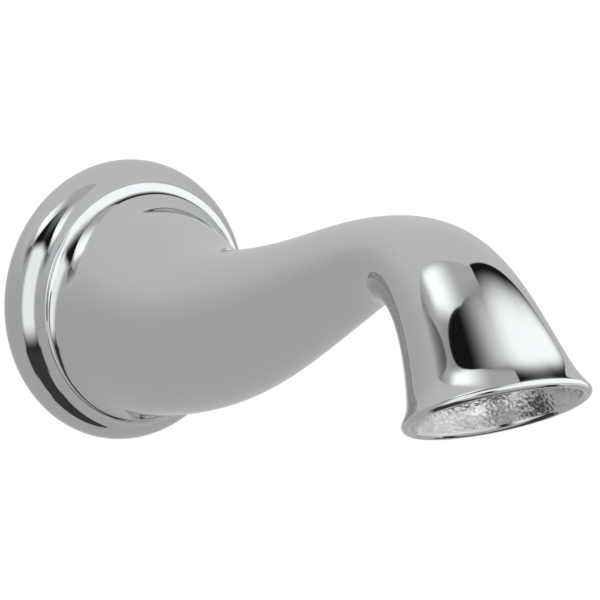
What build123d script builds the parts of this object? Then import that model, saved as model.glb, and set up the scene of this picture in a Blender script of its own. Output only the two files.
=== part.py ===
from build123d import *
from math import cos, pi, radians, sin
import os

# Wall-mounted bath spout. The wall is the plane X = 0, +X points out of it and +Z points up.
# All sizes are millimetres.

# Wall flange, turned about X: lower roll, hollow, upper roll, then a flat front
FLANGE_RADIUS = 38.1
LOWER_ROLL_RADIUS = 3.9
LOWER_ROLL_OFFSET = 3.2
LOWER_ROLL_END_DEG = 54.0
FLANGE_DEPTH = 13.9
UPPER_RADIUS = 35.5
UPPER_ROLL_RADIUS = 2.0
UPPER_ROLL_START_DEG = -26.0
BASE_FLARE = 2.6

# Body: it starts inside the flange, and its first section stands back from the upper roll
BODY_START = 10.0
BASE_STEP = 4.3
BASE_TAPER = -0.11
LIP_TAPER = 1.2
RING_COUNT = 25

# Stations along the body: share of the run to the mouth, outer radius, height of the middle
BELLY = (0.114, 26.3, -2.7)
SHANK = (0.24, 21.1, -3.2)
RISE = (0.366, 17.9, 1.7)
NECK_LOW = (0.492, 14.9, 9.2)
NECK_HIGH = (0.606, 12.5, 16.5)
CREST = (0.707, 11.2, 20.9)
BEND = (0.833, 14.7, 17.4)
LIP_NECK = (0.976, 21.2, -7.0)

# Spine: share of the run and height on an evenly turning line that the sections stand square to
SPINE = [(0.0, 0.0), (0.227, 2.0), (0.467, 12.5), (0.606, 20.6)]
SPINE += [(0.686, 23.3), (0.8, 20.7), (0.899, 11.1), (0.97, -3.5)]

# Mouth: a round lip in a plane that tips forward from level
MOUTH_REACH = 168.4
MOUTH_HEIGHT = -13.9
MOUTH_TILT_DEG = 22.4
LIP_RADIUS = 24.3
LIP_ROUND = 1.35
LIP_JOIN_DEG = 45.0

# Casting: wall, bulkhead between the dry back and the waterway, and the inlet sleeve
WALL = 2.8
BULKHEAD_BACK = 29.0
BULKHEAD_THICKNESS = 5.0
PASSAGE_RADIUS = 9.5
SLEEVE_WALL = 3.0
SLEEVE_RECESS = 2.0

# Inlet adapter, bored for a half inch pipe thread, held in the sleeve and flush with the wall
ADAPTER_RADIUS = 13.5
ADAPTER_CLEARANCE = 0.1
ADAPTER_LENGTH = 32.0
HEX_ACROSS_FLATS = 23.2
HEX_LENGTH = 8.0
THREAD_BORE_RADIUS = 9.13
THREAD_LENGTH = 16.0
WATER_BORE_RADIUS = 8.0

# Seals in the adapter's front grooves
SEAL_SECTION = 1.5
SEAL_CLEARANCE = 0.02
SEAL_GROOVE_WIDTH = 2.2
FRONT_SEAL_SETBACK = 3.6
SEAL_PITCH = 4.4

# Set screw in the underside, pressed into a groove round the adapter
SCREW_REACH = 18.5
SCREW_RADIUS = 2.9
SCREW_CLEARANCE = 0.1
SCREW_LENGTH = 12.0
SCREW_TIP = 0.9
SOCKET_ACROSS_FLATS = 3.0
SOCKET_DEPTH = 3.5
SCREW_GROOVE_WIDTH = 7.0
SCREW_GROOVE_DEPTH = 1.0
SCREW_BOSS_RADIUS = 6.0
SCREW_SEAT_GAP = 0.05

# Places that follow from the sizes above
BASE_RADIUS = UPPER_RADIUS - BASE_STEP
BODY_RUN = MOUTH_REACH - BODY_START
SLEEVE_BORE_RADIUS = ADAPTER_RADIUS + ADAPTER_CLEARANCE
SLEEVE_RADIUS = SLEEVE_BORE_RADIUS + SLEEVE_WALL
BULKHEAD_FRONT = BULKHEAD_BACK + BULKHEAD_THICKNESS
FRONT_SEAL = ADAPTER_LENGTH - FRONT_SEAL_SETBACK
BACK_SEAL = FRONT_SEAL - SEAL_PITCH
SEAL_FLOOR_RADIUS = SLEEVE_BORE_RADIUS - SEAL_SECTION
SCREW_TOP = SCREW_GROOVE_DEPTH - ADAPTER_RADIUS - SCREW_SEAT_GAP

LIP_TILT = radians(MOUTH_TILT_DEG)
LIP_JOIN = radians(LIP_JOIN_DEG)
MOUTH_AXIS = Vector(sin(LIP_TILT), 0, -cos(LIP_TILT))
MOUTH_CENTRE = Vector(MOUTH_REACH, 0, MOUTH_HEIGHT)
LIP_ROLL_RADIUS = LIP_RADIUS - LIP_ROUND
LIP_JOIN_RADIUS = LIP_ROLL_RADIUS + LIP_ROUND * cos(LIP_JOIN)
LIP_JOIN_HEIGHT = LIP_ROUND * (1 + sin(LIP_JOIN))
BODY_END = MOUTH_CENTRE - MOUTH_AXIS * LIP_JOIN_HEIGHT


def along_x(start, length, radius):
    """Round bar on the inlet's axis."""
    return extrude(Plane.YZ.offset(start) * Circle(radius), length)


def roll_point(centre, radius, degrees):
    """Point on a flange roll; 0 degrees points away from the axis and 90 out of the wall."""
    turn = radians(degrees)
    return centre[0] + radius * sin(turn), centre[1] + radius * cos(turn)


def flange_solid():
    """Stepped wall flange, turned in one piece and still solid at the back."""
    lower = (LOWER_ROLL_OFFSET, FLANGE_RADIUS - LOWER_ROLL_RADIUS)
    upper = (FLANGE_DEPTH - UPPER_ROLL_RADIUS, UPPER_RADIUS - UPPER_ROLL_RADIUS)
    wall_edge = lower[1] + (LOWER_ROLL_RADIUS**2 - LOWER_ROLL_OFFSET**2) ** 0.5
    lower_end = roll_point(lower, LOWER_ROLL_RADIUS, LOWER_ROLL_END_DEG)
    upper_start = roll_point(upper, UPPER_ROLL_RADIUS, UPPER_ROLL_START_DEG)
    upper_end = roll_point(upper, UPPER_ROLL_RADIUS, 90)
    upper_middle = roll_point(upper, UPPER_ROLL_RADIUS, (90 + UPPER_ROLL_START_DEG) / 2)
    fall = radians(LOWER_ROLL_END_DEG)
    outline = Curve() + [
        Polyline((FLANGE_DEPTH, 0), (0, 0), (0, wall_edge)),
        ThreePointArc((0, wall_edge), roll_point(lower, LOWER_ROLL_RADIUS, 0), lower_end),
        TangentArc(lower_end, upper_start, tangent=(cos(fall), -sin(fall))),
        ThreePointArc(upper_start, upper_middle, upper_end),
        Line(upper_end, (FLANGE_DEPTH, 0)),
    ]
    return revolve(make_face(outline), Axis.X)


def body_law():
    """Spline whose X and Z run along the middle of the body while Y carries the radius."""
    points = [(BODY_START, BASE_RADIUS, 0)]
    for share, radius, height in (BELLY, SHANK, RISE, NECK_LOW, NECK_HIGH, CREST, BEND, LIP_NECK):
        points.append((BODY_START + share * BODY_RUN, radius, height))
    points.append((BODY_END.X, LIP_JOIN_RADIUS, BODY_END.Z))
    return Spline(points, tangents=[(1, BASE_TAPER, 0), (MOUTH_AXIS.X, LIP_TAPER, MOUTH_AXIS.Z)])


def body_loft(inset):
    """Body drawn through round sections square to the spine, smaller by the inset."""
    law = body_law()
    spine_points = [(BODY_START + share * BODY_RUN, 0, height) for share, height in SPINE]
    spine = Spline(spine_points + [BODY_END], tangents=[(1, 0, 0), MOUTH_AXIS])
    rings = []
    for index in range(RING_COUNT):
        place = law @ (index / (RING_COUNT - 1))
        heading = spine % (index / (RING_COUNT - 1))
        section = Plane((place.X, 0, place.Z), x_dir=(0, 1, 0), z_dir=heading)
        rings.append(section * Circle(place.Y - inset))
    return loft(rings)


def turned_at_mouth(outline):
    """Solid turned about the mouth's axis from an outline of radius and height above the lip."""
    solid = revolve(make_face(Plane.XZ * outline), Axis.Z)
    return Plane(MOUTH_CENTRE, x_dir=(0, 1, 0), z_dir=-MOUTH_AXIS) * solid


def lip_blank():
    """Rounded rim below the body, still solid across the mouth."""
    half = LIP_JOIN / 2
    side = (LIP_ROLL_RADIUS + LIP_ROUND * cos(half), LIP_ROUND * (1 + sin(half)))
    low = (LIP_ROLL_RADIUS + LIP_ROUND * sin(half), LIP_ROUND * (1 - cos(half)))
    return turned_at_mouth(
        Curve()
        + [
            Polyline((LIP_ROLL_RADIUS, 0), (0, 0), (0, LIP_JOIN_HEIGHT), (LIP_JOIN_RADIUS, LIP_JOIN_HEIGHT)),
            ThreePointArc((LIP_JOIN_RADIUS, LIP_JOIN_HEIGHT), side, (LIP_RADIUS, LIP_ROUND)),
            ThreePointArc((LIP_RADIUS, LIP_ROUND), low, (LIP_ROLL_RADIUS, 0)),
        ]
    )


def mouth_hollow():
    """Hollow through the rim, rounded over towards the lip's lowest ring."""
    inner = LIP_ROLL_RADIUS - LIP_ROUND
    low = (LIP_ROLL_RADIUS - LIP_ROUND * sin(pi / 4), LIP_ROUND * (1 - cos(pi / 4)))
    top = (LIP_JOIN_RADIUS - WALL, LIP_JOIN_HEIGHT)
    return turned_at_mouth(
        Curve()
        + [
            Polyline((inner, LIP_ROUND), top, (0, LIP_JOIN_HEIGHT), (0, -LIP_ROUND), (LIP_ROLL_RADIUS, -LIP_ROUND)),
            Line((LIP_ROLL_RADIUS, -LIP_ROUND), (LIP_ROLL_RADIUS, 0)),
            ThreePointArc((LIP_ROLL_RADIUS, 0), low, (inner, LIP_ROUND)),
        ]
    )


def spout_body():
    """One casting: flange, swelling body, neck, bell, lip, bulkhead and inlet sleeve."""
    outside = flange_solid() + body_loft(0)
    front = outside.faces().filter_by(Axis.X).sort_by(lambda face: abs(face.center().X - FLANGE_DEPTH))[0]
    outside = fillet(front.inner_wires()[0].edges(), BASE_FLARE) + lip_blank()
    inside = body_loft(WALL)
    waterway = inside - along_x(0, BULKHEAD_FRONT, FLANGE_RADIUS) + mouth_hollow()
    dry_back = inside + along_x(0, BODY_START, BASE_RADIUS - WALL)
    dry_back &= along_x(0, BULKHEAD_BACK, FLANGE_RADIUS)
    dry_back -= along_x(SLEEVE_RECESS, BULKHEAD_BACK, SLEEVE_RADIUS)
    below = Plane.XY * Pos(SCREW_REACH, 0)
    dry_back -= extrude(below * Circle(SCREW_BOSS_RADIUS), -FLANGE_RADIUS)
    body = outside - waterway - dry_back
    body -= along_x(0, ADAPTER_LENGTH, SLEEVE_BORE_RADIUS)
    body -= along_x(0, BULKHEAD_FRONT, PASSAGE_RADIUS)
    return body - extrude(below * Circle(SCREW_RADIUS + SCREW_CLEARANCE), -FLANGE_RADIUS)


def inlet_adapter():
    """Brass bush: hexagon at the wall end, thread inside, grooves for the seals and the set screw."""
    hexagon = RegularPolygon(HEX_ACROSS_FLATS / 2, 6, major_radius=False)
    bush = extrude(Plane.YZ * hexagon, HEX_LENGTH)
    bush += along_x(HEX_LENGTH, ADAPTER_LENGTH - HEX_LENGTH, ADAPTER_RADIUS)
    for middle in (FRONT_SEAL, BACK_SEAL):
        start = middle - SEAL_GROOVE_WIDTH / 2
        blank = along_x(start, SEAL_GROOVE_WIDTH, ADAPTER_RADIUS)
        bush -= blank - along_x(start, SEAL_GROOVE_WIDTH, SEAL_FLOOR_RADIUS)
    start = SCREW_REACH - SCREW_GROOVE_WIDTH / 2
    floor = ADAPTER_RADIUS - SCREW_GROOVE_DEPTH
    bush -= along_x(start, SCREW_GROOVE_WIDTH, ADAPTER_RADIUS) - along_x(start, SCREW_GROOVE_WIDTH, floor)
    bush -= along_x(0, ADAPTER_LENGTH, WATER_BORE_RADIUS)
    return bush - along_x(0, THREAD_LENGTH, THREAD_BORE_RADIUS)


def seal(reach):
    """Rubber ring squeezed between a groove's floor and the sleeve."""
    middle = SLEEVE_BORE_RADIUS - SEAL_SECTION / 2
    ring = Torus(middle, SEAL_SECTION / 2 - SEAL_CLEARANCE)
    return Pos(reach, 0, 0) * Rot(0, 90, 0) * ring


def set_screw():
    """Headless screw with a hexagon socket in its lower end and a blunt point."""
    axis = Plane((SCREW_REACH, 0, SCREW_TOP), z_dir=(0, 0, -1))
    screw = extrude(axis * Circle(SCREW_RADIUS), SCREW_LENGTH)
    screw = chamfer(screw.edges().group_by(Axis.Z)[-1], SCREW_TIP)
    socket = RegularPolygon(SOCKET_ACROSS_FLATS / 2, 6, major_radius=False)
    return screw - extrude(axis.offset(SCREW_LENGTH) * socket, -SOCKET_DEPTH)


PIECES = {
    "spout_body": spout_body,
    "inlet_adapter": inlet_adapter,
    "front_seal": lambda: seal(FRONT_SEAL),
    "back_seal": lambda: seal(BACK_SEAL),
    "set_screw": set_screw,
}

os.makedirs("parts", exist_ok=True)
for name, make in PIECES.items():
    export_step(make(), f"parts/{name}.step")
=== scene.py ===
from math import atan2, cos, pi, radians, sin

import bpy
import numpy as np
from mathutils import Matrix, Vector


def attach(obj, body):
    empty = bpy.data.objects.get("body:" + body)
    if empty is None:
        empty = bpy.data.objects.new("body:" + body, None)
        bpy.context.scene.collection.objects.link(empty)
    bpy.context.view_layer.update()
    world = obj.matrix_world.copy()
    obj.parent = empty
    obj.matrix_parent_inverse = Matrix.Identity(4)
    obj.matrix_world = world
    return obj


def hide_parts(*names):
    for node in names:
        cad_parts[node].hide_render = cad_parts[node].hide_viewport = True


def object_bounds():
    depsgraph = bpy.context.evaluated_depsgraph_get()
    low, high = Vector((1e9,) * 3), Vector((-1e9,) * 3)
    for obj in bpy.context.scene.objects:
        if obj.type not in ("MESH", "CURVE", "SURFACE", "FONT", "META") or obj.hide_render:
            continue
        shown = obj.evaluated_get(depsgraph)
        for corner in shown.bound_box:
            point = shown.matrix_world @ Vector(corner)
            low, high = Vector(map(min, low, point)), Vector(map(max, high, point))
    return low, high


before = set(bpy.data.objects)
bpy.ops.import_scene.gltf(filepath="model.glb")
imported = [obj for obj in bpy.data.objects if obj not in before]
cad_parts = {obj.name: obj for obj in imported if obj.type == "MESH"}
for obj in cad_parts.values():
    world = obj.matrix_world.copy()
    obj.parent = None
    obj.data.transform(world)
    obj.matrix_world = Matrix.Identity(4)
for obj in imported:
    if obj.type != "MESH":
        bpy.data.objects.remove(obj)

CAD_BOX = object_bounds()

bl_info = {
    "name": "Bath Spout",
    "version": (1, 0, 0),
    "blender": (4, 5, 0),
    "location": "View3D > Sidebar > Bath Spout",
    "description": "Builds a chrome wall-mounted bath spout and its studio",
    "category": "Object",
}

MM = 0.001

# Flange mouldings, turned about the inlet's axis (millimetres and degrees)
ROLL_RADIUS = 6.5
ROLL_OFFSET = 4.0
ROLL_END = 56.0
FLANGE_DEPTH = 13.6
EDGE_RADIUS = 32.7
EDGE_ROUND = 0.5
EDGE_START = 17.0

# Cove and shoulder, where the flange's face runs into the body
FLARE_RUN = 6.5
FLARE_RADIUS = 32.2
SHOULDER_EASE = 1.6
SHOULDER_DROP = 1.6
SHOULDER_END = 30.0

# Body stations: share of the run to the mouth, radius, height of the middle
BODY_START = 10.0
BASE_RADIUS = 31.2
STATIONS = [
    (0.114, 26.3, -2.7),
    (0.24, 21.1, -3.2),
    (0.366, 17.9, 1.7),
    (0.492, 14.9, 9.2),
    (0.606, 12.5, 16.5),
    (0.707, 11.2, 20.9),
    (0.833, 14.7, 17.4),
    (0.976, 21.2, -7.0),
]

# Line that the sections stand square to: share of the run, height
SPINE = [
    (0.0, 0.0),
    (0.227, 2.0),
    (0.467, 12.5),
    (0.606, 20.6),
    (0.686, 23.3),
    (0.8, 20.7),
    (0.899, 11.1),
    (0.97, -3.5),
]
BASE_TAPER = -0.11
LIP_TAPER = 1.2
MOUTH_HEIGHT = -13.9
MOUTH_TILT = radians(22.4)
LIP_ROUND = 1.35
LIP_JOIN = radians(45)
WALL = 2.8

# Inside the casting
BULKHEAD_BACK = 29.0
BULKHEAD_FRONT = 34.0
PASSAGE_RADIUS = 9.5
SLEEVE_START = 2.0
SLEEVE_END = 32.0
SLEEVE_BORE = 13.6
SLEEVE_RADIUS = 16.6
CORNER = 0.35
SCREW_REACH = 18.5
SCREW_HOLE, HOLE_LOW, HOLE_HIGH = 3.0, -45.0, -9.0
BOSS_RADIUS, BOSS_LOW, BOSS_HIGH = 6.0, -28.4, -14.5

# How finely the casting is drawn
SEGMENTS = 32
SUBDIVISIONS = 2
LAW_STEPS = 801
ROLL_STEPS, HOLLOW_STEPS, EDGE_STEPS = 10, 7, 5
COVE_TURNS = (0, 5, 10, 16, 24, 34, 46, 58, 70, 80)
LIP_TURN = 22.5
OUTSIDE_RINGS, INSIDE_RINGS = 46, 30
DRY_REACHES = (26.0, 22.0, 18.0, 14.0, 10.5)
BACK_REACH = 8.0
SMOOTH_ANGLE = radians(38)

# Faces of the casting by finish
POLISHED, CAST, DRY = 0, 1, 2

# Widths of the marks in the finishes (millimetres)
WHEEL_MARK = 14.0
PLATE_HAZE = 22.0
CAST_STAIN = 5.0
LATHE_STAIN = 6.0
RUBBER_BLOOM = 2.0


def linear(code):
    """Colour of an sRGB hex code as linear light."""
    values = [int(code[i : i + 2], 16) / 255 for i in (1, 3, 5)]
    return tuple(v / 12.92 if v <= 0.04045 else ((v + 0.055) / 1.055) ** 2.4 for v in values)


def lengths(points):
    """Length along a line of points, from the first to each."""
    return np.concatenate([[0], np.cumsum(np.linalg.norm(np.diff(points, axis=0), axis=1))])


def sampled(points, first, last, count):
    """Clamped cubic through the points, at even steps along its length."""
    points = np.array(points, float)
    knots = lengths(points)
    gaps = np.diff(knots)
    size = len(points)
    matrix = np.eye(size)
    slopes = np.zeros_like(points)
    slopes[0] = np.array(first) / np.linalg.norm(first)
    slopes[-1] = np.array(last) / np.linalg.norm(last)
    for i in range(1, size - 1):
        matrix[i, i - 1 : i + 2] = gaps[i], 2 * (gaps[i - 1] + gaps[i]), gaps[i - 1]
        before = (points[i] - points[i - 1]) / gaps[i - 1]
        after = (points[i + 1] - points[i]) / gaps[i]
        slopes[i] = 3 * (gaps[i] * before + gaps[i - 1] * after)
    slopes = np.linalg.solve(matrix, slopes)
    along = np.linspace(0, knots[-1], 3000)
    k = np.clip(np.searchsorted(knots, along) - 1, 0, size - 2)
    u = ((along - knots[k]) / gaps[k])[:, None]
    gap = gaps[k][:, None]
    curve = (
        (2 * u**3 - 3 * u**2 + 1) * points[k]
        + (u**3 - 2 * u**2 + u) * gap * slopes[k]
        + (3 * u**2 - 2 * u**3) * points[k + 1]
        + (u**3 - u**2) * gap * slopes[k + 1]
    )
    length = lengths(curve)
    even = np.linspace(0, length[-1], count)
    return np.stack([np.interp(even, length, column) for column in curve.T], 1)


def arc(centre, radius, start, end, steps):
    """Reach and radius along a turned arc; 0 degrees faces off the axis, 90 out of the wall."""
    turns = [radians(start + (end - start) * i / steps) for i in range(steps + 1)]
    return [(centre[0] + radius * sin(turn), centre[1] + radius * cos(turn)) for turn in turns]


def cornered(points):
    """Three close points at each inner corner of a stepped line, to keep it crisp."""
    line = []
    for before, at, after in zip(points, points[1:], points[2:]):
        for other in (before, at, after):
            line.append(tuple(np.add(at, CORNER * np.sign(np.subtract(other, at)))))
    return line


class SpoutSizes(bpy.types.PropertyGroup):
    """Sizes that set the spout's outside, and the camera's distance."""

    flange_radius: bpy.props.FloatProperty(
        name="Flange radius",
        description="Radius of the wall flange",
        default=0.0381,
        unit="LENGTH",
    )
    reach: bpy.props.FloatProperty(
        name="Reach",
        description="From the wall to the middle of the mouth",
        default=0.1684,
        unit="LENGTH",
    )
    lip_radius: bpy.props.FloatProperty(
        name="Lip radius",
        description="Radius round the outside of the lip",
        default=0.0243,
        unit="LENGTH",
    )
    camera_distance: bpy.props.FloatProperty(
        name="Camera distance",
        description="From the camera to the spout",
        default=1.5,
        unit="LENGTH",
    )


class SpoutColours(bpy.types.PropertyGroup):
    """Colours of the spout's finishes."""

    chrome: bpy.props.FloatVectorProperty(
        name="Chrome",
        description="Polished chrome plate",
        subtype="COLOR",
        default=linear("#C4C5C6"),
    )
    cast: bpy.props.FloatVectorProperty(
        name="Cast inside",
        description="Plated surface left as cast",
        subtype="COLOR",
        default=linear("#D2D2D0"),
    )
    brass: bpy.props.FloatVectorProperty(
        name="Brass",
        description="Machined brass",
        subtype="COLOR",
        default=linear("#D9B36C"),
    )
    rubber: bpy.props.FloatVectorProperty(
        name="Rubber",
        description="Black seal rubber",
        subtype="COLOR",
        default=linear("#1B1B1C"),
    )
    steel: bpy.props.FloatVectorProperty(
        name="Steel",
        description="Stainless set screw",
        subtype="COLOR",
        default=linear("#B4B2AE"),
    )


def node(tree, kind, inputs=None, **settings):
    """Adds one node; an input is a value or another node's output socket."""
    made = tree.nodes.new(kind)
    for name, value in settings.items():
        setattr(made, name, value)
    for key, value in (inputs or {}).items():
        if isinstance(value, bpy.types.NodeSocket):
            tree.links.new(value, made.inputs[key])
        else:
            made.inputs[key].default_value = value
    return made


def empty_material(name):
    """New material and its node tree, holding only an output."""
    made = bpy.data.materials.new(name)
    made.use_nodes = True
    tree = made.node_tree
    tree.nodes.clear()
    return made, tree, tree.nodes.new("ShaderNodeOutputMaterial")


def polished_chrome(colour):
    """Chrome plate on polished brass: a mirror, faintly uneven from the polishing wheel."""
    made, tree, output = empty_material("chrome_plate_polished")
    place = node(tree, "ShaderNodeTexCoord").outputs["Object"]
    wheel = node(
        tree,
        "ShaderNodeTexNoise",
        {"Vector": place, "Scale": 1 / (WHEEL_MARK * MM), "Detail": 1.0},
    )
    haze = node(
        tree,
        "ShaderNodeTexNoise",
        {"Vector": place, "Scale": 1 / (PLATE_HAZE * MM), "Detail": 3.0},
    )
    rough = node(
        tree,
        "ShaderNodeMapRange",
        {"Value": haze.outputs["Fac"], "To Min": 0.02, "To Max": 0.055},
    )
    bump = node(
        tree,
        "ShaderNodeBump",
        {"Height": wheel.outputs["Fac"], "Strength": 0.06, "Distance": 0.08 * MM},
    )
    shader = node(
        tree,
        "ShaderNodeBsdfPrincipled",
        {
            "Base Color": (*colour, 1),
            "Metallic": 1.0,
            "Roughness": rough.outputs["Result"],
            "Normal": bump.outputs["Normal"],
        },
    )
    tree.links.new(shader.outputs["BSDF"], output.inputs["Surface"])
    return made


def as_cast(name, colour, roughness, grain):
    """Plated brass left as the sand mould made it: grainy, with darker pits."""
    made, tree, output = empty_material(name)
    place = node(tree, "ShaderNodeTexCoord").outputs["Object"]
    sand = node(
        tree,
        "ShaderNodeTexNoise",
        {"Vector": place, "Scale": 1 / (grain * MM), "Detail": 4.0},
    )
    pits = node(
        tree,
        "ShaderNodeTexVoronoi",
        {"Vector": place, "Scale": 1 / (1.6 * grain * MM)},
    )
    height = node(
        tree,
        "ShaderNodeMath",
        {0: sand.outputs["Fac"], 1: pits.outputs["Distance"]},
        operation="ADD",
    )
    bump = node(
        tree,
        "ShaderNodeBump",
        {"Height": height.outputs[0], "Strength": 0.4, "Distance": 0.3 * MM},
    )
    stain = node(
        tree,
        "ShaderNodeTexNoise",
        {"Vector": place, "Scale": 1 / (CAST_STAIN * MM), "Detail": 5.0},
    )
    shade = node(tree, "ShaderNodeValToRGB", {"Fac": stain.outputs["Fac"]})
    dark, pale = shade.color_ramp.elements
    dark.position = 0.35
    dark.color = (*[0.7 * c for c in colour], 1)
    pale.position = 0.62
    pale.color = (*colour, 1)
    shader = node(
        tree,
        "ShaderNodeBsdfPrincipled",
        {
            "Base Color": shade.outputs["Color"],
            "Metallic": 1.0,
            "Roughness": roughness,
            "Normal": bump.outputs["Normal"],
        },
    )
    tree.links.new(shader.outputs["BSDF"], output.inputs["Surface"])
    return made


def turned_metal(name, colour, roughness, pitch):
    """Metal turned in a lathe about X: fine tool rings that spread the light."""
    made, tree, output = empty_material(name)
    place = node(tree, "ShaderNodeTexCoord").outputs["Object"]
    # The wave texture turns 20 times as fast as its scale says
    rings = node(
        tree,
        "ShaderNodeTexWave",
        {
            "Vector": place,
            "Scale": 1 / (20 * pitch * MM) * 2 * pi,
            "Distortion": 0.4,
            "Detail": 1.0,
        },
        bands_direction="X",
    )
    stain = node(
        tree,
        "ShaderNodeTexNoise",
        {"Vector": place, "Scale": 1 / (LATHE_STAIN * MM), "Detail": 4.0},
    )
    rough = node(
        tree,
        "ShaderNodeMapRange",
        {"Value": stain.outputs["Fac"], "To Min": 0.8 * roughness, "To Max": 1.3 * roughness},
    )
    bump = node(
        tree,
        "ShaderNodeBump",
        {"Height": rings.outputs["Fac"], "Strength": 0.25, "Distance": 0.03 * MM},
    )
    shader = node(
        tree,
        "ShaderNodeBsdfPrincipled",
        {
            "Base Color": (*colour, 1),
            "Metallic": 1.0,
            "Roughness": rough.outputs["Result"],
            "Normal": bump.outputs["Normal"],
        },
    )
    tree.links.new(shader.outputs["BSDF"], output.inputs["Surface"])
    return made


def seal_rubber(colour):
    """Moulded black nitrile rubber: dull, with a faint bloom."""
    made, tree, output = empty_material("nitrile_rubber")
    place = node(tree, "ShaderNodeTexCoord").outputs["Object"]
    bloom = node(
        tree,
        "ShaderNodeTexNoise",
        {"Vector": place, "Scale": 1 / (RUBBER_BLOOM * MM), "Detail": 3.0},
    )
    rough = node(
        tree,
        "ShaderNodeMapRange",
        {"Value": bloom.outputs["Fac"], "To Min": 0.45, "To Max": 0.7},
    )
    shader = node(
        tree,
        "ShaderNodeBsdfPrincipled",
        {"Base Color": (*colour, 1), "Roughness": rough.outputs["Result"], "IOR": 1.52},
    )
    tree.links.new(shader.outputs["BSDF"], output.inputs["Surface"])
    return made


def body_rings(sizes, inset):
    """Sections of the body from wall to mouth: reach, height, radius and heading."""
    reach = sizes.reach / MM
    run = reach - BODY_START
    axis = (sin(MOUTH_TILT), -cos(MOUTH_TILT))
    roll = sizes.lip_radius / MM - LIP_ROUND
    join_height = LIP_ROUND * (1 + sin(LIP_JOIN))
    end = (reach - axis[0] * join_height, MOUTH_HEIGHT - axis[1] * join_height)
    points = [(BODY_START, BASE_RADIUS, 0)]
    points += [(BODY_START + share * run, radius, height) for share, radius, height in STATIONS]
    points.append((end[0], roll + LIP_ROUND * cos(LIP_JOIN), end[1]))
    law = sampled(points, (1, BASE_TAPER, 0), (axis[0], LIP_TAPER, axis[1]), LAW_STEPS)
    line = [(BODY_START + share * run, height) for share, height in SPINE] + [end]
    spine = sampled(line, (1, 0), axis, LAW_STEPS)
    way = np.gradient(spine, axis=0)
    ease = np.clip((SHOULDER_END - law[:, 0]) / (SHOULDER_END - FLANGE_DEPTH), 0, 1)
    ease = ease**2 * (3 - 2 * ease)
    radius = law[:, 1] - SHOULDER_EASE * ease - inset
    height = law[:, 2] - SHOULDER_DROP * ease
    return np.stack([law[:, 0], height, radius, np.arctan2(way[:, 1], way[:, 0])], 1)


def ring_at(rings, reach):
    """Section whose middle is at the given reach."""
    return [float(np.interp(reach, rings[:, 0], column)) for column in rings.T]


def flange_profile(flange):
    """Reach and radius along the flange from the wall: roll, hollow and edge."""
    lower = (ROLL_OFFSET, flange - ROLL_RADIUS)
    upper = (FLANGE_DEPTH - EDGE_ROUND, EDGE_RADIUS - EDGE_ROUND)
    wall_edge = -np.degrees(np.arcsin(ROLL_OFFSET / ROLL_RADIUS))
    roll = arc(lower, ROLL_RADIUS, wall_edge, ROLL_END, ROLL_STEPS)
    edge = arc(upper, EDGE_ROUND, EDGE_START, 90, EDGE_STEPS)
    (x, r), (edge_x, edge_r) = roll[-1], edge[0]
    # The hollow leaves the roll smoothly and ends at the edge
    across = (sin(radians(ROLL_END)), cos(radians(ROLL_END)))
    gap = (edge_x - x, edge_r - r)
    bend = (gap[0] ** 2 + gap[1] ** 2) / (2 * (gap[0] * across[0] + gap[1] * across[1]))
    middle = (x + across[0] * bend, r + across[1] * bend)
    start = np.degrees(atan2(x - middle[0], r - middle[1]))
    end = np.degrees(atan2(edge_x - middle[0], edge_r - middle[1]))
    if end > start:
        end -= 360
    hollow = arc(middle, bend, start, end, HOLLOW_STEPS)
    return roll + hollow[1:-1] + edge


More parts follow.
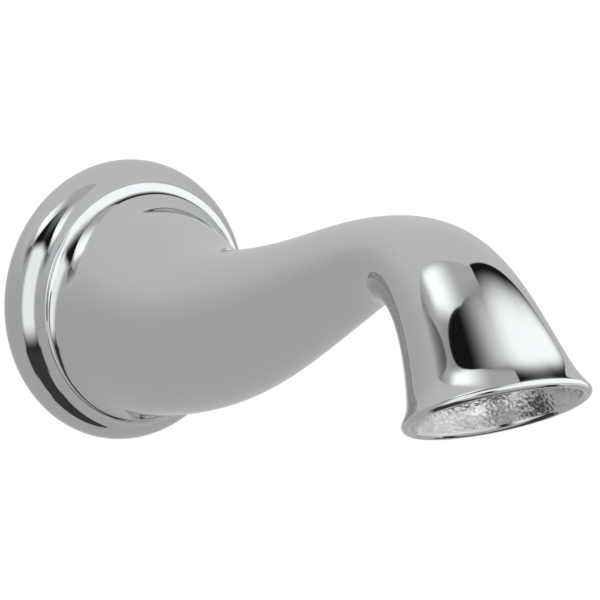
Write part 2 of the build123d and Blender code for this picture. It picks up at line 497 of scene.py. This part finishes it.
def casting_rings(sizes):
    """All rings of the casting, along the outside to the lip and back through the hollow.

    Each is reach, height, radius, heading and finish.
    """
    outer = body_rings(sizes, 0)
    inner = body_rings(sizes, WALL)
    flange = flange_profile(sizes.flange_radius / MM)
    rings = [(x, 0.0, r, 0.0, POLISHED) for x, r in flange]

    # The cove goes from a circle in the flange's face to the body's own section
    for turn in COVE_TURNS:
        x = FLANGE_DEPTH + FLARE_RUN * (1 - cos(radians(turn)))
        _, height, radius, heading = ring_at(outer, x)
        share = sin(radians(turn))
        r = share * radius + (1 - share) * FLARE_RADIUS
        rings.append((x, share * height, r, share * heading, POLISHED))
    first = int(np.searchsorted(outer[:, 0], FLANGE_DEPTH + FLARE_RUN))
    for index in np.linspace(first, len(outer) - 1, OUTSIDE_RINGS).astype(int):
        rings.append((*outer[index], POLISHED))

    lip = sizes.lip_radius / MM - LIP_ROUND
    heading = -(pi / 2 - MOUTH_TILT)
    for turn in np.arange(LIP_TURN, -181, -LIP_TURN):
        r = lip + LIP_ROUND * cos(radians(turn))
        h = LIP_ROUND * (1 + sin(radians(turn)))
        x = sizes.reach / MM - h * sin(MOUTH_TILT)
        rings.append((x, MOUTH_HEIGHT + h * cos(MOUTH_TILT), r, heading, POLISHED))

    last = int(np.searchsorted(inner[:, 0], BULKHEAD_FRONT + 3))
    for index in np.linspace(len(inner) - 1, last, INSIDE_RINGS).astype(int):
        rings.append((*inner[index], CAST))
    _, height, radius, _ = ring_at(inner, BULKHEAD_FRONT)
    rings.append((BULKHEAD_FRONT + CORNER, height, radius, 0.0, CAST))
    rings.append((BULKHEAD_FRONT, height, radius, 0.0, CAST))
    rings.append((BULKHEAD_FRONT, height, radius - CORNER, 0.0, CAST))
    _, height, back_radius, _ = ring_at(inner, BULKHEAD_BACK)
    steps = [
        (BULKHEAD_FRONT, radius),
        (BULKHEAD_FRONT, PASSAGE_RADIUS),
        (SLEEVE_END, PASSAGE_RADIUS),
        (SLEEVE_END, SLEEVE_BORE),
        (SLEEVE_START, SLEEVE_BORE),
        (SLEEVE_START, SLEEVE_RADIUS),
        (BULKHEAD_BACK, SLEEVE_RADIUS),
        (BULKHEAD_BACK, back_radius),
    ]
    rings += [(x, 0.0, r, 0.0, DRY) for x, r in cornered(steps)]
    rings.append((BULKHEAD_BACK, height, back_radius - CORNER, 0.0, DRY))
    rings.append((BULKHEAD_BACK, height, back_radius, 0.0, DRY))
    rings.append((BULKHEAD_BACK - CORNER, height, back_radius, 0.0, DRY))
    for x in DRY_REACHES:
        rings.append((*ring_at(inner, x), DRY))
    inside = BASE_RADIUS - WALL
    for x, r in (
        (BACK_REACH, inside),
        (CORNER, inside),
        (0.0, inside),
        (0.0, inside + CORNER),
        (0.0, flange[0][1] - CORNER),
    ):
        rings.append((x, 0.0, r, 0.0, DRY))
    return rings


def ring_mesh(name, rings):
    """Closed tube drawn from one circle, each ring extruded from the last, sized and turned."""
    # Subdivision draws each ring in; drawn this much larger, it ends at its own radius
    swell = 3 / (2 + cos(2 * pi / SEGMENTS))
    x, z, r, _, _ = rings[0]
    bpy.ops.object.select_all(action="DESELECT")
    bpy.ops.mesh.primitive_circle_add(
        vertices=SEGMENTS,
        radius=r * swell * MM,
        location=(x * MM, 0, z * MM),
        rotation=(0, pi / 2, 0),
    )
    piece = bpy.context.object
    piece.name = name
    piece.data.name = name
    bpy.ops.object.transform_apply(location=True, rotation=True, scale=True)
    bpy.ops.object.mode_set(mode="EDIT")
    bpy.ops.mesh.select_all(action="SELECT")
    for before, after in zip(rings, rings[1:]):
        step = ((after[0] - before[0]) * MM, 0, (after[1] - before[1]) * MM)
        middle = (after[0] * MM, 0, after[1] * MM)
        bpy.ops.mesh.extrude_region_move(TRANSFORM_OT_translate={"value": step})
        grow = after[2] / before[2]
        bpy.ops.transform.resize(value=(grow, grow, grow), center_override=middle)
        turn = after[3] - before[3]
        if abs(turn) > 1e-6:
            bpy.ops.transform.rotate(value=turn, orient_axis="Y", center_override=middle)
    bpy.ops.object.mode_set(mode="OBJECT")

    # The last ring is joined to the first across the back of the flange
    final = SEGMENTS * (len(rings) - 1)
    ends = set(range(SEGMENTS)) | set(range(final, final + SEGMENTS))
    for vertex in piece.data.vertices:
        vertex.select = vertex.index in ends
    for line in piece.data.edges:
        line.select = all(corner in ends for corner in line.vertices)
    bpy.ops.object.mode_set(mode="EDIT")
    bpy.ops.mesh.select_mode(type="EDGE")
    bpy.ops.mesh.bridge_edge_loops()
    bpy.ops.mesh.select_all(action="SELECT")
    bpy.ops.mesh.normals_make_consistent(inside=False)
    bpy.ops.object.mode_set(mode="OBJECT")
    for face in piece.data.polygons:
        rows = sorted({corner // SEGMENTS for corner in face.vertices})
        wraps = rows == [0, len(rings) - 1]
        face.material_index = DRY if wraps else rings[rows[-1]][4]
    return piece


def use_modifier(piece, kind, **settings):
    """Adds a modifier and applies it."""
    bpy.ops.object.select_all(action="DESELECT")
    piece.select_set(True)
    bpy.context.view_layer.objects.active = piece
    made = piece.modifiers.new(kind.lower(), kind)
    for key, value in settings.items():
        setattr(made, key, value)
    bpy.ops.object.modifier_apply(modifier=made.name)


def upright_bar(name, radius, low, high, finishes):
    """Round bar standing where the set screw goes, for adding or cutting."""
    bpy.ops.object.select_all(action="DESELECT")
    bpy.ops.mesh.primitive_cylinder_add(
        vertices=64,
        radius=radius * MM,
        depth=(high - low) * MM,
        location=(SCREW_REACH * MM, 0, (low + high) / 2 * MM),
    )
    bar = bpy.context.object
    bar.name = name
    for finish in finishes:
        bar.data.materials.append(finish)
    for face in bar.data.polygons:
        face.material_index = DRY
    return bar


class SPOUT_OT_casting(bpy.types.Operator):
    """Draws the cast body from flange to lip with its hollow inside"""

    bl_idname = "spout.casting"
    bl_label = "Casting"

    def execute(self, context):
        sizes = context.scene.spout_sizes
        colours = context.scene.spout_colours
        finishes = [
            polished_chrome(colours.chrome),
            as_cast("brass_as_cast_plated", colours.cast, roughness=0.2, grain=0.8),
            as_cast("brass_as_cast_dull", colours.cast, roughness=0.45, grain=0.7),
        ]
        piece = ring_mesh("spout_casting", casting_rings(sizes))
        for finish in finishes:
            piece.data.materials.append(finish)
        use_modifier(piece, "SUBSURF", levels=SUBDIVISIONS, render_levels=SUBDIVISIONS)
        boss = upright_bar("screw_boss", BOSS_RADIUS, BOSS_LOW, BOSS_HIGH, finishes)
        use_modifier(piece, "BOOLEAN", operation="UNION", object=boss, solver="EXACT")
        hole = upright_bar("screw_hole", SCREW_HOLE, HOLE_LOW, HOLE_HIGH, finishes)
        use_modifier(piece, "BOOLEAN", operation="DIFFERENCE", object=hole, solver="EXACT")
        for tool in (boss, hole):
            bpy.data.objects.remove(tool, do_unlink=True)
        bpy.ops.object.select_all(action="DESELECT")
        piece.select_set(True)
        context.view_layer.objects.active = piece
        bpy.ops.object.shade_smooth_by_angle(angle=SMOOTH_ANGLE)
        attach(piece, "root")
        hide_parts("spout_body")
        return {"FINISHED"}


class SPOUT_OT_fittings(bpy.types.Operator):
    """Finishes the inlet bush, the seals and the set screw"""

    bl_idname = "spout.fittings"
    bl_label = "Inlet fittings"

    def execute(self, context):
        colours = context.scene.spout_colours
        rubber = seal_rubber(colours.rubber)
        finishes = {
            "inlet_adapter": turned_metal("brass_turned", colours.brass, 0.24, 0.3),
            "front_seal": rubber,
            "back_seal": rubber,
            "set_screw": turned_metal("stainless_steel_screw", colours.steel, 0.3, 0.25),
        }
        for name, finish in finishes.items():
            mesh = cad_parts[name].data
            mesh.materials.clear()
            mesh.materials.append(finish)
        return {"FINISHED"}


# The light tent: its middle, its size and the way its opening faces
TENT_MIDDLE = (0.095, 0.0, 0.0)
TENT_RADIUS = 0.3
OPENING_WAYS = {
    "toward": Vector((0.433, -0.25, 0.866)),
    "across": Vector((0.5, 0.866, 0.0)),
    "upward": Vector((-0.75, 0.433, 0.5)),
}
TENT_LIGHT = (0.985, 0.995, 1.0, 1)

# The tent's pattern, a row a step: a name, what is worked out, and from what. A number or an
# earlier name goes in as it is; a name with two numbers goes in as a soft step from 0 at the first
# to 1 at the second. Out, side and height are of the point on the tent, from its middle; u and v
# lie flat across the opening.
TENT_PATTERN = (
    ("flat", "ADD", "toward", 1.0),
    ("flat", "MAXIMUM", "flat", 0.05),
    ("u", "DIVIDE", "across", "flat"),
    ("v", "DIVIDE", "upward", "flat"),
    # The cloth, its hem, and what the hem and the sides leave open
    ("cloth", "MULTIPLY_ADD", ("height", -0.1, 0.75), 0.22, 0.61),
    ("past", "SUBTRACT", "u", 0.1),
    ("past", "MAXIMUM", "past", 0.0),
    ("hem", "MULTIPLY_ADD", ("u", -0.65, -0.4), 0.07, 0.13),
    ("hem", "MULTIPLY_ADD", "past", 0.7, "hem"),
    ("gap", "SUBTRACT", "hem", "v"),
    ("below", "MULTIPLY", ("height", -0.9, -0.95), ("out", -0.09, -0.06)),
    ("beside", "MULTIPLY", ("height", -0.5, -0.58), ("out", -0.2, -0.02), ("side", -0.5, -0.65)),
    ("front", "MAXIMUM", ("out", 0.0, 0.02), ("height", 0.27, 0.29), "below", "beside"),
    ("wing", "MAXIMUM", ("out", 0.0, 0.02), ("u", -0.7, -0.6), "below", "beside"),
    ("opening", "MULTIPLY", ("gap", -0.006, 0.006), "front", "wing"),
    # The near panel, with a brighter glow in it
    ("past", "SUBTRACT", "u", -0.12),
    ("past", "MAXIMUM", "past", 0.0),
    ("near", "ADD", "v", -0.013),
    ("near", "MULTIPLY_ADD", "u", -0.1, "near"),
    ("near", "MULTIPLY_ADD", "past", -0.23, "near"),
    ("near_mask", "MULTIPLY", ("near", -0.003, 0.003), ("u", 0.14, 0.13)),
    ("slant", "ADD", "v", 0.0625),
    ("slant", "MULTIPLY_ADD", "u", 0.25, "slant"),
    ("glow", "MULTIPLY", ("u", -0.5, -0.36), ("u", -0.04, -0.3)),
    ("glow", "MULTIPLY", "glow", ("gap", -0.02, 0.06), ("slant", -0.05, 0.01)),
    ("past", "SUBTRACT", "u", -0.1),
    ("past", "MAXIMUM", "past", 0.0),
    ("soft", "ADD", "v", 0.05),
    ("soft", "MULTIPLY_ADD", "past", -0.5, "soft"),
    ("near_light", "MULTIPLY_ADD", ("u", -0.5, -0.6), -0.25, 0.47),
    ("near_light", "MULTIPLY_ADD", ("soft", 0.02, 0.1), 0.18, "near_light"),
    ("near_light", "MULTIPLY_ADD", "glow", 1.15, "near_light"),
    # The fold at the near panel's end
    ("fold", "SUBTRACT", -0.3525, "v"),
    ("fold", "MULTIPLY_ADD", "u", -0.75, "fold"),
    ("fold_mask", "MULTIPLY", ("fold", -0.004, 0.004), ("u", -0.44, -0.46), ("v", -0.08, -0.05)),
    ("fold_light", "MULTIPLY_ADD", ("u", -0.5, -0.65), 0.3, 0.2),
    # The far panel
    ("past", "SUBTRACT", "u", 0.45),
    ("past", "MAXIMUM", "past", 0.0),
    ("far_gap", "MULTIPLY_ADD", "past", 0.35, "gap"),
    ("far", "MULTIPLY", ("u", -0.2, 0.27), ("far_gap", 0.04, 0.25)),
    ("far_end", "MULTIPLY", ("v", -0.25, -0.35), ("u", -0.25, -0.12)),
    ("far", "MAXIMUM", "far", "far_end"),
    ("lit", "MAXIMUM", ("height", 0.03, 0.1), ("side", 0.0, 0.25), ("out", 0.86, 0.93)),
    ("lift", "MULTIPLY_ADD", ("height", -0.13, -0.02), 0.65, 1.0),
    ("far", "MULTIPLY", "far", "lit", ("height", -0.5, -0.35), "lift"),
    # The wall beside the camera
    ("wall_light", "MULTIPLY_ADD", ("out", 0.0, 0.3), 0.8, 0.62),
    ("wall", "MULTIPLY", ("out", 0.85, 0.65), ("side", 0.0, -0.1)),
    ("wall", "MULTIPLY", "wall", ("height", -0.58, -0.3), ("height", 0.62, 0.5), "wall_light"),
    # The ground in front, and its far rim
    ("ground_light", "MULTIPLY", ("side", 0.45, 0.35), 0.55),
    ("ground_light", "MULTIPLY_ADD", ("side", 0.55, 0.59), 1.2, "ground_light"),
    ("ground", "MULTIPLY", ("height", -0.25, -0.45), ("out", 0.42, 0.6), "ground_light"),
    ("rim_end", "MULTIPLY", ("out", 0.2, 0.1), ("side", 0.4, 0.5)),
    ("rim", "MAXIMUM", ("side", 0.62, 0.68), "rim_end"),
    ("rim", "MULTIPLY", "rim", ("height", -0.3, -0.45), 0.6),
    # The dark room with all of these in it
    ("room", "MAXIMUM", "far", "wall", "ground", "rim"),
    ("room", "ADD", "room", 0.012),
    ("room", "MULTIPLY_ADD", ("height", -0.5, -0.65), 0.05, "room"),
)


def tent_cloth():
    """White tent cloth lit from outside: evenly bright, with a dark room seen past its hem."""
    made, tree, output = empty_material("tent_cloth")
    place = node(tree, "ShaderNodeTexCoord").outputs["Object"]
    point = node(tree, "ShaderNodeVectorMath", {0: place}, operation="NORMALIZE").outputs["Vector"]
    split = node(tree, "ShaderNodeSeparateXYZ", {0: point})
    parts = dict(zip(("out", "side", "height"), split.outputs))
    for name, way in OPENING_WAYS.items():
        turned = node(tree, "ShaderNodeVectorMath", {0: point, 1: way}, operation="DOT_PRODUCT")
        parts[name] = turned.outputs["Value"]
    for name, operation, *terms in TENT_PATTERN:
        for index, term in enumerate(terms):
            if isinstance(term, tuple):
                source, low, high = term
                step = node(
                    tree,
                    "ShaderNodeMapRange",
                    {"Value": parts[source], "From Min": low, "From Max": high},
                    interpolation_type="SMOOTHSTEP",
                )
                terms[index] = step.outputs["Result"]
            elif isinstance(term, str):
                terms[index] = parts[term]
        taken = 3 if operation == "MULTIPLY_ADD" else 2
        while len(terms) > 1:
            inputs = dict(enumerate(terms[:taken]))
            terms[:taken] = [node(tree, "ShaderNodeMath", inputs, operation=operation).outputs[0]]
        parts[name] = terms[0]
    seen = parts["room"]
    for mask, light in (("near_mask", "near_light"), ("fold_mask", "fold_light")):
        seen = node(tree, "ShaderNodeMix", {0: parts[mask], 2: seen, 3: parts[light]}).outputs[0]
    level = node(tree, "ShaderNodeMix", {0: parts["opening"], 2: parts["cloth"], 3: seen})
    light = node(tree, "ShaderNodeEmission", {"Color": TENT_LIGHT, "Strength": level.outputs[0]})
    tree.links.new(light.outputs[0], output.inputs["Surface"])
    return made


def light_tent(name):
    """Round tent that lights the spout and shows in its chrome, but not to the camera."""
    bpy.ops.object.select_all(action="DESELECT")
    bpy.ops.mesh.primitive_uv_sphere_add(
        segments=96, ring_count=48, radius=TENT_RADIUS, location=TENT_MIDDLE
    )
    tent = bpy.context.object
    tent.name = name
    bpy.ops.object.shade_smooth()
    tent.data.materials.append(tent_cloth())
    tent.visible_camera = False
    tent.visible_shadow = False


# The floor: its height, half its width and how far it is white to the eye
FLOOR_HEIGHT = -2.7
FLOOR_HALF = 12.0
FLOOR_WHITE = 0.93


def pale_floor(name, centre):
    """Wide floor below the tent in pale matt paint, white to the eye, with a little shadow left."""
    bpy.ops.object.select_all(action="DESELECT")
    bpy.ops.mesh.primitive_plane_add(
        size=2 * FLOOR_HALF, location=(centre[0], centre[1], FLOOR_HEIGHT)
    )
    floor = bpy.context.object
    floor.name = name
    made, tree, output = empty_material("pale_floor_paint")
    paint = node(tree, "ShaderNodeBsdfDiffuse", {"Color": (*linear("#F4F4F4"), 1)})
    white = node(tree, "ShaderNodeEmission", {"Color": (1, 1, 1, 1), "Strength": 1.0})
    rays = node(tree, "ShaderNodeLightPath").outputs
    seen = rays["Is Camera Ray"]
    for other in ("Is Glossy Ray", "Is Transmission Ray"):
        either = node(tree, "ShaderNodeMath", {0: seen, 1: rays[other]}, operation="MAXIMUM")
        seen = either.outputs[0]
    share = node(tree, "ShaderNodeMath", {0: seen, 1: FLOOR_WHITE}, operation="MULTIPLY")
    mix = node(
        tree,
        "ShaderNodeMixShader",
        {0: share.outputs[0], 1: paint.outputs[0], 2: white.outputs[0]},
    )
    tree.links.new(mix.outputs[0], output.inputs["Surface"])
    floor.data.materials.append(made)


def white_world():
    """Even white all round, for the background and a little fill."""
    world = bpy.data.worlds.new("white_room")
    bpy.context.scene.world = world
    world.use_nodes = True
    tree = world.node_tree
    tree.nodes.clear()
    sky = node(tree, "ShaderNodeBackground", {"Color": (1, 1, 1, 1), "Strength": 1.0})
    output = tree.nodes.new("ShaderNodeOutputWorld")
    tree.links.new(sky.outputs[0], output.inputs["Surface"])


# Camera, from the ellipses of the flange and the mouth in the photograph
CAMERA_AZIMUTH = radians(54.0)
CAMERA_ELEVATION = radians(5.64)
CAMERA_ROLL = radians(1.54)
CAMERA_AIM = Vector((0.075, 0.0, -0.005))
CAMERA_FOCAL_PIXELS = 5739.07
CAMERA_AIM_PIXEL = (278.68, 342.67)
PICTURE_SIZE = 600
SENSOR_WIDTH = 36.0
CAMERA_FAR = 100


def photo_camera(distance):
    """Long lens at the photograph's angle, turned so that the spout sits where it does there."""
    a, e, roll = CAMERA_AZIMUTH, CAMERA_ELEVATION, CAMERA_ROLL
    back = Vector((sin(a) * cos(e), -cos(a) * cos(e), sin(e)))
    level = Vector((cos(a), sin(a), 0))
    rise = back.cross(level)
    right = level * cos(roll) + rise * sin(roll)
    up = rise * cos(roll) - level * sin(roll)
    place = CAMERA_AIM + back * distance
    per_pixel = distance / CAMERA_FOCAL_PIXELS
    half = PICTURE_SIZE / 2
    aim = CAMERA_AIM + right * (half - CAMERA_AIM_PIXEL[0]) * per_pixel
    aim = aim + up * (CAMERA_AIM_PIXEL[1] - half) * per_pixel
    back = (place - aim).normalized()
    right = up.cross(back).normalized()
    up = back.cross(right)
    lens = bpy.data.cameras.new("photo_camera")
    lens.sensor_width = SENSOR_WIDTH
    lens.lens = CAMERA_FOCAL_PIXELS / PICTURE_SIZE * SENSOR_WIDTH
    lens.clip_end = CAMERA_FAR
    camera = bpy.data.objects.new("photo_camera", lens)
    bpy.context.scene.collection.objects.link(camera)
    turn = Matrix((right, up, back)).transposed()
    camera.matrix_world = Matrix.Translation(place) @ turn.to_4x4()
    bpy.context.scene.camera = camera


class SPOUT_OT_stage(bpy.types.Operator):
    """Sets up the light tent, the floor, the white background and the camera"""

    bl_idname = "spout.stage"
    bl_label = "Stage"

    def execute(self, context):
        middle = [(low + high) / 2 for low, high in zip(*CAD_BOX)]
        light_tent("light_tent")
        pale_floor("floor", middle)
        white_world()
        photo_camera(context.scene.spout_sizes.camera_distance)
        context.scene.view_settings.view_transform = "Standard"
        return {"FINISHED"}


class SPOUT_PT_panel(bpy.types.Panel):
    """Lists the steps that build the spout"""

    bl_idname = "SPOUT_PT_panel"
    bl_label = "Bath Spout"
    bl_space_type = "VIEW_3D"
    bl_region_type = "UI"
    bl_category = "Bath Spout"

    def draw(self, context):
        for group in (context.scene.spout_sizes, context.scene.spout_colours):
            for key in group.__annotations__:
                self.layout.prop(group, key)
        for step in STEPS:
            self.layout.operator(step.bl_idname)


STEPS = (SPOUT_OT_casting, SPOUT_OT_fittings, SPOUT_OT_stage)
CLASSES = (SpoutSizes, SpoutColours, *STEPS, SPOUT_PT_panel)


def register():
    for made in CLASSES:
        bpy.utils.register_class(made)
    bpy.types.Scene.spout_sizes = bpy.props.PointerProperty(type=SpoutSizes)
    bpy.types.Scene.spout_colours = bpy.props.PointerProperty(type=SpoutColours)


def unregister():
    del bpy.types.Scene.spout_colours
    del bpy.types.Scene.spout_sizes
    for made in reversed(CLASSES):
        bpy.utils.unregister_class(made)


def main():
    register()
    bpy.ops.spout.casting()
    bpy.ops.spout.fittings()
    bpy.ops.spout.stage()


if __name__ == "__main__":
    main()
